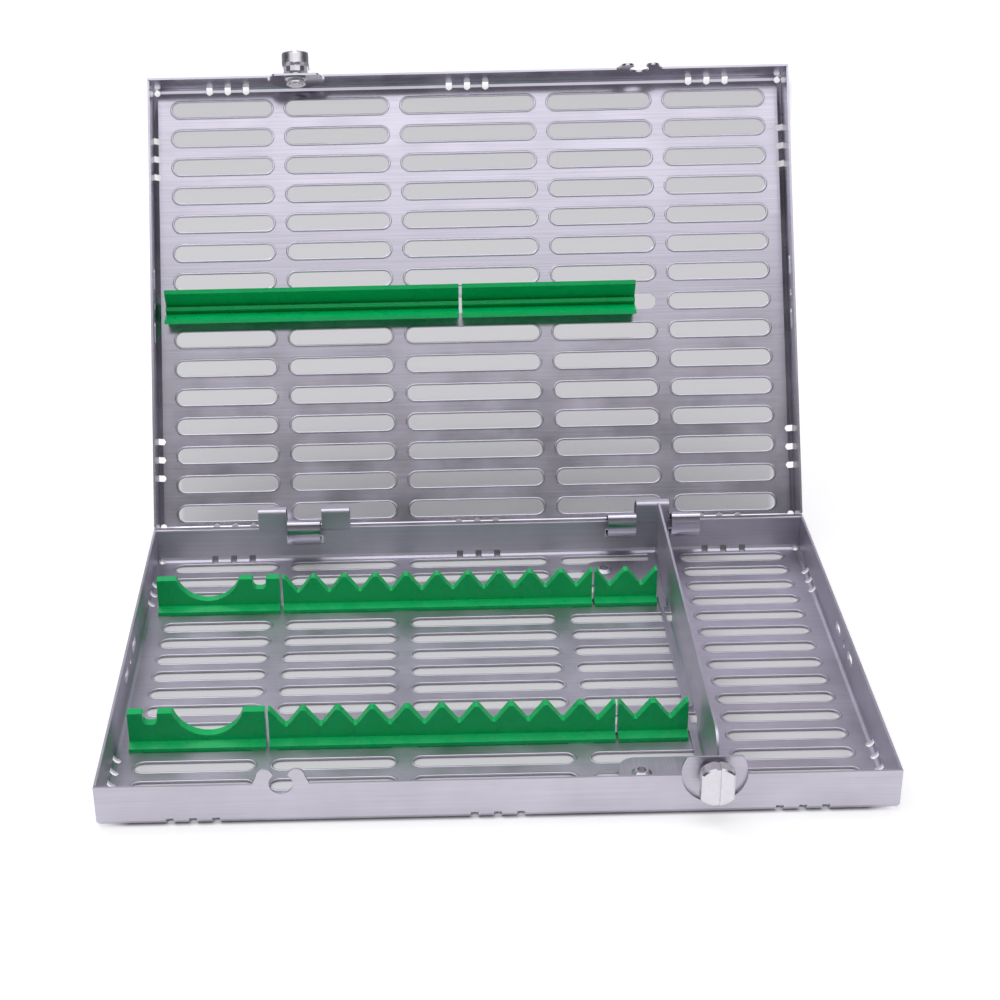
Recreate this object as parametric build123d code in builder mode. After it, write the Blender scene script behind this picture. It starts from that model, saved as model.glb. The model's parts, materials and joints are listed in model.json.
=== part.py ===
from build123d import *
import math
import os

os.makedirs("parts", exist_ok=True)

# Dental instrument cassette: two equal pressed sheet halves joined by C-hook hinges, turn latches,
# silicone combs, silicone bars and a riveted partition. Millimetres, +Z up, the base rests on z = 0.
# The lid stands open, leaning back on its hinges.

# --- pressed halves
WIDTH = 280.0
DEPTH = 198.0
HEIGHT = 16.5
SHEET = 0.9
OUTER_BEND = 3.2
BEND_TURNS = 3              # a bend is drawn with this many equal turns
WALL_EDGE_GAP = 0.15        # every wall but the hinge wall stops this far below the parting line
HINGE_EDGE_GAP = 1.0        # the hinge wall stops this far below the hinge line
CORNER_SEAM = 0.3
CORNER_HOLE = 2.6
CORNER_HOLE_INSET = 2.4
OPEN_ANGLE = 121.5

# --- floor slots, the same rows and columns in both halves
ROW_PITCH = 12.85
ROW_LAND = 1.0              # least width of plain floor between the last row and a bend
PATTERN_Y = 1.0
SLOT_WIDTH = 7.0
CENTRE_SLOT = 59.2
INNER_SLOT = 45.6
INNER_SLOT_X = 58.2
OUTER_SLOT = 44.4
OUTER_SLOT_X = 109.0
SLOT_TURNS = 4              # a round slot end is drawn with this many equal turns
ROWS_PAST_RIVET = 1
ROWS_PAST_COMB = 3
ROWS_PAST_WINDOW = 4

# --- drain notches across the bends and openings in the side walls
DRAIN_COUNT = 3
DRAIN_PITCH = 8.1
DRAIN_WIDTH = 2.7
DRAIN_REACH = 3.6
DRAIN_RISE = 3.0
DRAIN_TURNS = 3
LONG_DRAIN_X = 106.3
SIDE_DRAIN_Y = 67.0
SIDE_OPENING = 8.8
SIDE_OPENING_RISE = 4.0
SIDE_OPENING_Y = 11.8
SIDE_DOT = 3.5
SIDE_OPENING_Z = 9.5

# --- turn latch: recess and tab on the right of each half, receiver horns on its left
LATCH_X = 75.0
LATCH_GAP = 0.35
RECESS_RADIUS = 11.5
TAB_RISE = 6.4
TAB_CORNER = 1.2
JOURNAL = 5.0
JOURNAL_FIT = 0.05          # radial running fit of the stem in its hole
STEM_ROUND = 7.8
STEM_FLATS = 5.0
RECEIVER_RADIUS = 4.2
MOUTH_WIDTH = 5.2
HORN_RISE = 6.0
HORN_RADIUS = 2.9
HORN_X = 5.5
HORN_ROOT = 9.85
KNOB_ROUND = 15.3
KNOB_FLATS = 11.5
KNOB_THICKNESS = 5.0
KNOB_CHAMFER = 0.6
KNOB_STAND_OFF = 3.5
GROOVE_WIDTH = 1.7
GROOVE_DEPTH = 1.0
COLLAR = 11.0
SPIGOT_LENGTH = 3.4
SPRING_OUTER = 10.0
SPRING_SHEET = 0.4
SPRING_HEIGHT = 0.95
SPRING_CONE = 55.0          # the cone leans this far in from the axis
SEAT_CLEARANCE = 0.03
WASHER_OUTER = 8.6
WASHER_THICKNESS = 0.75
BORE_CLEARANCE = 0.02       # radial, parts that are pressed or peened together
TAIL_OUTER = 6.4
TAIL_THICKNESS = 0.6
TURNED_SIDES = 16           # small turned pieces are drawn with this many flats

# --- C-hook hinges in the rear wall, every size about the hinge line
HINGE_X = 75.0
MIDDLE_TAB = 14.0
MIDDLE_SLOT = 15.9
SIDE_TAB = 12.0
SIDE_SLOT = 13.0
SIDE_TAB_X = 13.6
HOOK_INNER = 7.3
HOOK_TAIL = 145.0           # end of the hook, counted from straight up towards the outside
HOOK_CORNER = 2.0
JOGGLE = 1.25               # the tab stands this far inside the wall
JOGGLE_START = 1.6
JOGGLE_END = 0.2
TAB_ROOT = 3.2              # the tab grows out of the wall this far below the hinge line
SLOT_NEAR = 4.5
SLOT_FAR = 8.8

# --- silicone combs
COMB_TOP = 15.5
COMB_LIP = 1.5
COMB_SLOPE_RISE = 1.3
COMB_SLOPE_RUN = 3.5
COMB_FRONT = 3.1
COMB_WEB = 4.0
PLUG_WIDTH = 6.2
PLUG_END_GAP = 0.4
PLUG_LIFT = 0.15            # plugs stop this far above the rest face
LEFT_COMB = (-134.2, -83.6)
MIDDLE_COMB = (-82.4, 45.4)
RIGHT_COMB = (46.4, 72.2)
MIDDLE_VALLEYS = 10
RIGHT_VALLEYS = 2
VALLEY_DEPTH = 6.8
VALLEY_HALF = 5.7
VALLEY_BOTTOM = 1.0
PEAK_CHAMFER = 0.4
ARC_RADIUS = 13.5
ARC_DEPTH = 9.8
ARC_FROM_END = 21.0
NOTCH_WIDTH = 5.4
NOTCH_DEPTH = 4.8
NOTCH_BOTTOM = 2.0
NOTCH_FROM_END = 8.3

# --- silicone bars on the lid
LONG_BAR = (6.0, 134.8)
SHORT_BAR = (-71.4, 4.6)
BAR_HEIGHT = 10.0
BAR_FOOT = 7.4
BAR_FOOT_RISE = 1.6
BAR_SPREAD = 15.0
BAR_FLANGE = 1.8
BAR_TROUGH = 3.0
BAR_RIDGE_RISE = 2.2
BAR_RIDGE_WIDTH = 1.6

# --- partition with two riveted feet
PARTITION_X = 77.3
PARTITION_TOP = 26.9
PARTITION_FRONT_GAP = 7.5   # from the outer face of the front wall
PARTITION_REAR_GAP = 4.5    # from the outer face of the hinge wall
PARTITION_BEND = 1.9
FLANGE_WIDTH = 4.2
FRONT_CORNER = 9.0
REAR_CORNER = 3.0
WINDOW_LENGTH = 12.6
WINDOW_TOP = 4.6
FOOT_LENGTH = 21.0
FOOT_LEFT = 44.5
FOOT_CORNER = 7.0
FOOT_FRONT_SHIFT = 0.5      # foot's centre from its rivet
FOOT_REAR_SHIFT = -1.1
RIVET_X = 52.5
RIVET_HEAD = 7.4
RIVET_BRIM_RISE = 0.8
RIVET_CONE_RISE = 1.2
RIVET_CONE = 45.0
RIVET_HOLLOW = 3.4
RIVET_HOLLOW_DEPTH = 1.6
RIVET_SHANK = 4.6
KEY_LENGTH = 16.0
KEY_WIDTH = 6.7
KEY_LIFT = 0.05

BEND_FLAT = 2 - math.sqrt(2)  # leg of the one flat that touches a bend's arc, per radius
CUT = 1.0                   # cutters run past the face they start from

hinge_y = DEPTH / 2 - SHEET / 2
hook_outer = HOOK_INNER + SHEET
recess_depth = SHEET + LATCH_GAP
row_room = DEPTH / 2 - PATTERN_Y - OUTER_BEND - ROW_LAND - SLOT_WIDTH / 2
rows_each_side = int(row_room / ROW_PITCH)
rivet_row_y = (rows_each_side - ROWS_PAST_RIVET) * ROW_PITCH
comb_row_y = (rows_each_side - ROWS_PAST_COMB) * ROW_PITCH
window_row_y = (rows_each_side - ROWS_PAST_WINDOW) * ROW_PITCH
partition_front = -DEPTH / 2 + PARTITION_FRONT_GAP
partition_rear = DEPTH / 2 - PARTITION_REAR_GAP


def on(base, local):
    """The local plane, carried into the directions of the base plane."""
    return Plane(base.location * local.location)


def turned_about_hinge(plane, angle):
    """The plane swung open about the hinge line."""
    hinge = Location((0, hinge_y, HEIGHT))
    return Plane(hinge * Location((0, 0, 0), (-angle, 0, 0)) * hinge.inverse() * plane.location)


def slot_outline(length, width, count=SLOT_TURNS, rotation=0):
    """A slot in the open sketch: each round end is a few flats that touch its arc from outside."""
    reach = (length - width) / 2
    corner = width / 2 / math.cos(math.radians(90 / count))
    turns = [math.radians(180 * (index + 0.5) / count - 90) for index in range(count)]
    right_end = [(reach + corner * math.cos(turn), corner * math.sin(turn)) for turn in turns]
    left_end = [(-x, -y) for x, y in right_end]
    Polygon(*right_end, *left_end, rotation=rotation, align=None)


def turned_outline(diameter, outside=False, mode=Mode.ADD):
    """A small circle in the open sketch, drawn with flats inside the circle or touching it from outside."""
    RegularPolygon(diameter / 2, TURNED_SIDES, major_radius=not outside, mode=mode)


def bent_section(span, rise):
    """Section in the open sketch: a floor and two upright walls, each bend a few flats about its arc."""
    corner = OUTER_BEND / math.cos(math.radians(45 / BEND_TURNS))
    centre = span / 2 - OUTER_BEND
    turns = [math.radians(90 * (index + 0.5) / BEND_TURNS) for index in range(BEND_TURNS)]
    right = [(centre + corner * math.sin(turn), OUTER_BEND - corner * math.cos(turn)) for turn in turns]
    left = [(-x, z) for x, z in reversed(right)]
    Polygon(*right, (span / 2, rise), (-span / 2, rise), *left, align=None)


BASE_PLANE = Plane.XY
CLOSED_LID_PLANE = Plane((0, 0, 2 * HEIGHT), x_dir=(-1, 0, 0), z_dir=(0, 0, -1))
LID_PLANE = turned_about_hinge(CLOSED_LID_PLANE, OPEN_ANGLE)


def pressed_half(base):
    """One pressed half: floor with slots, four walls, latch recess, receiver horns and hinge hooks."""
    inner_x = WIDTH / 2 - CORNER_HOLE_INSET
    inner_y = DEPTH / 2 - CORNER_HOLE_INSET
    edge = HEIGHT - WALL_EDGE_GAP
    front = on(base, Plane.XZ.offset(DEPTH / 2))
    hook_spans = [
        (HINGE_X - MIDDLE_TAB / 2, MIDDLE_TAB),
        (-HINGE_X - SIDE_TAB_X - SIDE_TAB / 2, SIDE_TAB),
        (-HINGE_X + SIDE_TAB_X - SIDE_TAB / 2, SIDE_TAB),
    ]

    with BuildPart(base) as half:
        # sheet body, bent up from the floor on four sides: its long section crossed with its short one
        with BuildSketch(on(base, Plane.XZ)):
            bent_section(WIDTH, edge)
        extrude(amount=DEPTH / 2, both=True)
        with BuildSketch(on(base, Plane.YZ)):
            bent_section(DEPTH, edge)
        extrude(amount=WIDTH / 2, both=True, mode=Mode.INTERSECT)
        up = Axis(base.origin, base.z_dir)
        offset(amount=-SHEET, openings=half.faces().sort_by(up)[-1])

        # the hinge wall is lower than the others
        with BuildSketch(on(base, Plane.XY.offset(HEIGHT - HINGE_EDGE_GAP))):
            with Locations((0, DEPTH / 2)):
                Rectangle(WIDTH + CUT, 2 * SHEET + CUT)
        extrude(amount=HINGE_EDGE_GAP + CUT, mode=Mode.SUBTRACT)

        # open seams where the side walls butt against the front and rear walls
        with BuildSketch(base):
            seam_x = 2 * inner_x + CORNER_HOLE_INSET + CUT
            seam_y = DEPTH - 2 * SHEET - CORNER_SEAM
            with GridLocations(seam_x, seam_y, 2, 2):
                Rectangle(CORNER_HOLE_INSET + CUT, CORNER_SEAM)
        extrude(amount=HEIGHT + CUT, mode=Mode.SUBTRACT)
        with BuildSketch(base):
            with GridLocations(2 * inner_x, 2 * inner_y, 2, 2):
                RegularPolygon(CORNER_HOLE / 2, 2 * SLOT_TURNS, major_radius=False)
        extrude(amount=OUTER_BEND + CUT, mode=Mode.SUBTRACT)

        # rows of floor slots
        with BuildSketch(base):
            row_count = 2 * rows_each_side + 1
            with Locations((0, PATTERN_Y)):
                with GridLocations(1, ROW_PITCH, 1, row_count):
                    slot_outline(CENTRE_SLOT, SLOT_WIDTH)
                with GridLocations(2 * INNER_SLOT_X, ROW_PITCH, 2, row_count):
                    slot_outline(INNER_SLOT, SLOT_WIDTH)
                with GridLocations(2 * OUTER_SLOT_X, ROW_PITCH, 2, row_count):
                    slot_outline(OUTER_SLOT, SLOT_WIDTH)
        extrude(amount=SHEET + CUT, mode=Mode.SUBTRACT)

        # drain notches in groups across the bends
        with BuildSketch(base):
            with GridLocations(LONG_DRAIN_X, DEPTH, 3, 2):
                with GridLocations(DRAIN_PITCH, 1, DRAIN_COUNT, 1):
                    slot_outline(2 * DRAIN_REACH, DRAIN_WIDTH, DRAIN_TURNS, rotation=90)
            with GridLocations(WIDTH, 2 * SIDE_DRAIN_Y, 2, 2):
                with GridLocations(1, DRAIN_PITCH, 1, DRAIN_COUNT):
                    slot_outline(2 * DRAIN_REACH, DRAIN_WIDTH, DRAIN_TURNS)
        extrude(amount=DRAIN_RISE, mode=Mode.SUBTRACT)

        # long, round and long opening in both side walls
        with BuildSketch(on(base, Plane.YZ)):
            with Locations((-SIDE_OPENING_Y, SIDE_OPENING_Z), (SIDE_OPENING_Y, SIDE_OPENING_Z)):
                slot_outline(SIDE_OPENING, SIDE_OPENING_RISE)
            with Locations((0, SIDE_OPENING_Z)):
                RegularPolygon(SIDE_DOT / 2, 2 * SLOT_TURNS, major_radius=False)
        extrude(amount=WIDTH / 2 + CUT, both=True, mode=Mode.SUBTRACT)

        # latch recess: the wall is pressed inwards on a circle
        with BuildSketch(front):
            with Locations((LATCH_X, HEIGHT)):
                Circle(RECESS_RADIUS + SHEET)
            with Locations((LATCH_X, edge)):
                Rectangle(3 * RECESS_RADIUS, 3 * RECESS_RADIUS, align=(Align.CENTER, Align.MIN), mode=Mode.SUBTRACT)
        extrude(amount=-(recess_depth + SHEET))
        with BuildSketch(front):
            with Locations((LATCH_X, HEIGHT)):
                Circle(RECESS_RADIUS)
        extrude(amount=-recess_depth, mode=Mode.SUBTRACT)

        # latch tab above the parting line
        with BuildSketch(front.offset(-recess_depth)) as tab:
            with Locations((LATCH_X, HEIGHT)):
                Circle(RECESS_RADIUS)
            with Locations((LATCH_X, HEIGHT + TAB_RISE)):
                Rectangle(3 * RECESS_RADIUS, RECESS_RADIUS, align=(Align.CENTER, Align.MIN), mode=Mode.SUBTRACT)
            fillet(tab.vertices().group_by(Axis.Y)[-1], TAB_CORNER)
        extrude(amount=-SHEET)
        with BuildSketch(front):
            with Locations((LATCH_X, HEIGHT)):
                Circle(JOURNAL / 2 + JOURNAL_FIT)
        extrude(amount=-(recess_depth + SHEET + CUT), mode=Mode.SUBTRACT)

        # receiver: two horns beside a round cut that is open at the top
        with BuildSketch(front):
            shoulder = HORN_X + HORN_RADIUS
            shoulder_rise = HORN_RISE - HORN_RADIUS
            with Locations((-LATCH_X, HEIGHT)):
                Polygon(
                    (-HORN_ROOT, -CUT),
                    (HORN_ROOT, -CUT),
                    (HORN_ROOT, 0),
                    (shoulder, shoulder_rise),
                    (-shoulder, shoulder_rise),
                    (-HORN_ROOT, 0),
                    align=None,
                )
            with Locations((-LATCH_X, HEIGHT + shoulder_rise)):
                with GridLocations(2 * HORN_X, 1, 2, 1):
                    Circle(HORN_RADIUS)
        extrude(amount=-SHEET)
        with BuildSketch(front):
            with Locations((-LATCH_X, HEIGHT)):
                Circle(RECEIVER_RADIUS)
                Rectangle(MOUTH_WIDTH, HORN_RISE + CUT, align=(Align.CENTER, Align.MIN))
        extrude(amount=-(SHEET + CUT), mode=Mode.SUBTRACT)

        # windows that the hooks of the other half pass through
        with BuildSketch(on(base, Plane.XZ.offset(-DEPTH / 2 - CUT))):
            slot_z = HEIGHT - (SLOT_NEAR + SLOT_FAR) / 2
            with Locations((-HINGE_X, slot_z)):
                Rectangle(MIDDLE_SLOT, SLOT_FAR - SLOT_NEAR)
            with Locations((HINGE_X - SIDE_TAB_X, slot_z), (HINGE_X + SIDE_TAB_X, slot_z)):
                Rectangle(SIDE_SLOT, SLOT_FAR - SLOT_NEAR)
        extrude(amount=2 * CUT + SHEET, mode=Mode.SUBTRACT)

        # C-hooks: each tab steps inwards, rises and curls over to the outside round the hinge line
        for left_end, width in hook_spans:
            with BuildSketch(on(base, Plane.YZ.offset(left_end))) as hook:
                with BuildLine():
                    face = SHEET / 2 - JOGGLE
                    inside = -SHEET / 2 - JOGGLE
                    reach = HOOK_TAIL - 90
                    inner_turn = math.degrees(math.acos(face / HOOK_INNER))
                    outer_turn = math.degrees(math.acos(inside / hook_outer))
                    inner = CenterArc((hinge_y, HEIGHT), HOOK_INNER, -reach, inner_turn + reach)
                    outer = CenterArc((hinge_y, HEIGHT), hook_outer, -reach, outer_turn + reach)
                    Line(inner @ 0, outer @ 0)
                    Polyline(
                        inner @ 1,
                        (hinge_y + face, HEIGHT + JOGGLE_END),
                        (hinge_y + SHEET / 2, HEIGHT - JOGGLE_START),
                        (hinge_y + SHEET / 2, HEIGHT - TAB_ROOT),
                        (hinge_y - SHEET / 2, HEIGHT - TAB_ROOT),
                        (hinge_y - SHEET / 2, HEIGHT - JOGGLE_START - JOGGLE_END - SHEET / 2),
                        (hinge_y + inside, HEIGHT + JOGGLE_END - SHEET),
                        outer @ 1,
                    )
                    outer_corner = outer @ 1
                    inner_corner = inner @ 1
                make_face()
                fillet(hook.vertices().sort_by_distance(outer_corner)[0], HOOK_CORNER)
                fillet(hook.vertices().sort_by_distance(inner_corner)[0], HOOK_CORNER - SHEET)
            extrude(amount=width)

    return half


def latch_axis(base):
    """Plane on the outer face of the front wall, its normal along the knob's turning axis."""
    return on(base, Plane((LATCH_X, -DEPTH / 2, HEIGHT), x_dir=(1, 0, 0), z_dir=(0, -1, 0)))


def latch_knob(base):
    """Turn knob with two flats and a pointer groove over its front and rim."""
    wall = latch_axis(base)
    with BuildPart() as knob:
        with BuildSketch(wall.offset(KNOB_STAND_OFF)):
            Circle(KNOB_ROUND / 2)
            Rectangle(KNOB_FLATS, KNOB_ROUND, mode=Mode.INTERSECT)
        extrude(amount=KNOB_THICKNESS)
        along = Axis(wall.origin, wall.z_dir)
        chamfer(knob.faces().sort_by(along)[-1].edges(), KNOB_CHAMFER)
        with BuildSketch(wall.offset(KNOB_STAND_OFF + KNOB_THICKNESS)):
            Rectangle(GROOVE_WIDTH, KNOB_ROUND + CUT)
        extrude(amount=-GROOVE_DEPTH, mode=Mode.SUBTRACT)
        with BuildSketch(wall.offset(KNOB_STAND_OFF)):
            with Locations((0, KNOB_ROUND / 2)):
                Rectangle(GROOVE_WIDTH, 2 * GROOVE_DEPTH)
        extrude(amount=KNOB_THICKNESS, mode=Mode.SUBTRACT)
        with BuildSketch(wall.offset(KNOB_STAND_OFF)):
            turned_outline(JOURNAL + 2 * BORE_CLEARANCE, outside=True)
        extrude(amount=SPIGOT_LENGTH + JOURNAL_FIT, mode=Mode.SUBTRACT)
    return knob


def latch_stem(base):
    """Stem: spigot, collar, double-D that the horns close round, journal and peened tail."""
    wall = latch_axis(base)
    washer_back = recess_depth + SHEET + SEAT_CLEARANCE + SPRING_HEIGHT + SPRING_SHEET + WASHER_THICKNESS
    with BuildPart() as stem:
        with BuildSketch(wall.offset(KNOB_STAND_OFF)):
            turned_outline(JOURNAL)
        extrude(amount=SPIGOT_LENGTH)
        with BuildSketch(wall.offset(LATCH_GAP)):
            turned_outline(COLLAR)
        extrude(amount=KNOB_STAND_OFF - LATCH_GAP)
        with BuildSketch(wall.offset(-recess_depth + JOURNAL_FIT)):
            Circle(STEM_ROUND / 2)
            Rectangle(STEM_FLATS, STEM_ROUND, mode=Mode.INTERSECT)
        extrude(amount=recess_depth - JOURNAL_FIT + LATCH_GAP)
        with BuildSketch(wall.offset(-washer_back)):
            Circle(JOURNAL / 2)
        extrude(amount=washer_back)
        with BuildSketch(wall.offset(-washer_back - TAIL_THICKNESS)):
            turned_outline(TAIL_OUTER)
        extrude(amount=TAIL_THICKNESS)
    return stem


def latch_spring_washer(base):
    """Coned spring washer behind the latch disc."""
    wall = latch_axis(base)
    with BuildPart() as washer:
        rim = -(recess_depth + SHEET + SEAT_CLEARANCE)
        with BuildSketch(wall.offset(rim)):
            turned_outline(SPRING_OUTER)
        extrude(amount=-(SPRING_HEIGHT + SPRING_SHEET), taper=SPRING_CONE)
        with BuildSketch(wall.offset(rim)):
            turned_outline(SPRING_OUTER - 2 * SPRING_SHEET)
        extrude(amount=-SPRING_HEIGHT, taper=SPRING_CONE, mode=Mode.SUBTRACT)
        with BuildSketch(wall.offset(rim)):
            turned_outline(JOURNAL + 2 * JOURNAL_FIT, outside=True)
        extrude(amount=-(SPRING_HEIGHT + SPRING_SHEET), mode=Mode.SUBTRACT)
    return washer


def latch_retaining_washer(base):
    """Flat washer held by the peened tail."""
    wall = latch_axis(base)
    front = recess_depth + SHEET + SEAT_CLEARANCE + SPRING_HEIGHT + SPRING_SHEET
    with BuildPart() as washer:
        with BuildSketch(wall.offset(-front)):
            turned_outline(WASHER_OUTER)
            turned_outline(JOURNAL + 2 * BORE_CLEARANCE, outside=True, mode=Mode.SUBTRACT)
        extrude(amount=-WASHER_THICKNESS)
    return washer


def silicone_comb(span, row_y, valleys=(), arcs=(), notches=()):
    """A comb on one row of floor slots; valleys, arcs and notches are places along x."""
    left, right = span
    heel = row_y - COMB_FRONT
    web_front = heel + COMB_SLOPE_RUN
    web_back = web_front + COMB_WEB
    with BuildPart() as comb:
        # section: front lip, sloped foot and upright web
        with BuildSketch(Plane.YZ.offset(left)):
            with BuildLine():
                Polyline(
                    (heel, SHEET),
                    (heel, SHEET + COMB_LIP),
                    (web_front, SHEET + COMB_LIP + COMB_SLOPE_RISE),
                    (web_front, COMB_TOP),
                    (web_back, COMB_TOP),
                    (web_back, SHEET),
                    close=True,
                )
            make_face()
        extrude(amount=right - left)

        # seats cut down from the top
        with BuildSketch(Plane.XZ.offset(-web_back - CUT)):
            for x in valleys:
                with Locations((x, COMB_TOP)):
                    Polygon(
                        (-VALLEY_HALF, 0),
                        (-VALLEY_BOTTOM / 2, -VALLEY_DEPTH),
                        (VALLEY_BOTTOM / 2, -VALLEY_DEPTH),
                        (VALLEY_HALF, 0),
                        align=None,
                    )
            for x in arcs:
                with Locations((x, COMB_TOP - ARC_DEPTH + ARC_RADIUS)):
                    Circle(ARC_RADIUS)
            for x in notches:
                with Locations((x, COMB_TOP + NOTCH_WIDTH / 2 - NOTCH_DEPTH / 2)):
                    RectangleRounded(NOTCH_WIDTH, NOTCH_DEPTH + NOTCH_WIDTH, NOTCH_BOTTOM)
        extrude(amount=COMB_WEB + 2 * CUT, mode=Mode.SUBTRACT)
        crests = comb.edges().filter_by(Axis.Y).group_by(Axis.Z)[-1].sort_by(Axis.X)
        chamfer(crests[1:-1], PEAK_CHAMFER)

        # plugs that fill the slots below
        with BuildSketch(Plane.XY.offset(PLUG_LIFT)):
            with Locations((0, row_y)):
                slot_outline(CENTRE_SLOT - 2 * PLUG_END_GAP, PLUG_WIDTH)
            with Locations((-INNER_SLOT_X, row_y), (INNER_SLOT_X, row_y)):
                slot_outline(INNER_SLOT - 2 * PLUG_END_GAP, PLUG_WIDTH)
            with Locations((-OUTER_SLOT_X, row_y), (OUTER_SLOT_X, row_y)):
                slot_outline(OUTER_SLOT - 2 * PLUG_END_GAP, PLUG_WIDTH)
            with Locations(((left + right) / 2, row_y)):
                Rectangle(right - left - 2 * PLUG_END_GAP, SLOT_WIDTH, mode=Mode.INTERSECT)
        extrude(amount=SHEET - PLUG_LIFT)
    return comb


def silicone_bar(span):
    """A trough-shaped bar on the middle slot row of the lid."""
    left, right = span
    middle = PATTERN_Y
    rise = SHEET + BAR_FOOT_RISE
    top = SHEET + BAR_HEIGHT
    with BuildPart() as bar:
        with BuildSketch(on(LID_PLANE, Plane.YZ.offset(left))):
            with BuildLine():
                Polyline(
                    (middle - BAR_FOOT / 2, SHEET),
                    (middle - BAR_FOOT / 2, rise),
                    (middle - BAR_SPREAD / 2, top),
                    (middle - BAR_SPREAD / 2 + BAR_FLANGE, top),
                    (middle - BAR_RIDGE_WIDTH, rise + BAR_TROUGH / 2),
                    (middle - BAR_RIDGE_WIDTH / 2, rise + BAR_TROUGH / 2 + BAR_RIDGE_RISE),
                    (middle + BAR_RIDGE_WIDTH / 2, rise + BAR_TROUGH / 2 + BAR_RIDGE_RISE),
                    (middle + BAR_RIDGE_WIDTH, rise + BAR_TROUGH / 2),
                    (middle + BAR_SPREAD / 2 - BAR_FLANGE, top),
                    (middle + BAR_SPREAD / 2, top),
                    (middle + BAR_FOOT / 2, rise),
                    (middle + BAR_FOOT / 2, SHEET),
                    close=True,
                )
            make_face()
        extrude(amount=right - left)
        with BuildSketch(LID_PLANE.offset(PLUG_LIFT)):
            with Locations((0, middle)):
                slot_outline(CENTRE_SLOT - 2 * PLUG_END_GAP, PLUG_WIDTH)
            with Locations((-INNER_SLOT_X, middle), (INNER_SLOT_X, middle)):
                slot_outline(INNER_SLOT - 2 * PLUG_END_GAP, PLUG_WIDTH)
            with Locations((-OUTER_SLOT_X, middle), (OUTER_SLOT_X, middle)):
                slot_outline(OUTER_SLOT - 2 * PLUG_END_GAP, PLUG_WIDTH)
            with Locations(((left + right) / 2, middle)):
                Rectangle(right - left - 2 * PLUG_END_GAP, SLOT_WIDTH, mode=Mode.INTERSECT)
        extrude(amount=SHEET - PLUG_LIFT)
    return bar


def partition_rivet(row_y):
    """Tubular rivet with a coned head, through a partition foot and the key below it."""
    with BuildPart() as rivet:
        with BuildSketch(Plane.XY.offset(KEY_LIFT)):
            with Locations((RIVET_X, row_y)):
                turned_outline(RIVET_SHANK)
        extrude(amount=2 * SHEET - KEY_LIFT)
        with BuildSketch(Plane.XY.offset(2 * SHEET)):
            with Locations((RIVET_X, row_y)):
                turned_outline(RIVET_HEAD)
        extrude(amount=RIVET_BRIM_RISE)
        with BuildSketch(Plane.XY.offset(2 * SHEET + RIVET_BRIM_RISE)):
            with Locations((RIVET_X, row_y)):
                turned_outline(RIVET_HEAD)
        extrude(amount=RIVET_CONE_RISE, taper=RIVET_CONE)
        with BuildSketch(Plane.XY.offset(2 * SHEET + RIVET_BRIM_RISE + RIVET_CONE_RISE)):
            with Locations((RIVET_X, row_y)):
                turned_outline(RIVET_HOLLOW)
        extrude(amount=-RIVET_HOLLOW_DEPTH, mode=Mode.SUBTRACT)
    return rivet


def partition_key(row_y):
    """Oblong plate that fills the floor slot under a partition foot."""
    with BuildPart() as key:
        with BuildSketch(Plane.XY.offset(KEY_LIFT)):
            with Locations((RIVET_X, row_y)):
                slot_outline(KEY_LENGTH, KEY_WIDTH)
                turned_outline(RIVET_SHANK + 2 * BORE_CLEARANCE, outside=True, mode=Mode.SUBTRACT)
        extrude(amount=SHEET - KEY_LIFT)
    return key


base_tray = pressed_half(BASE_PLANE)
base_tray.part.label = "base_tray"
lid_tray = pressed_half(LID_PLANE)
lid_tray.part.label = "lid_tray"

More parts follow.
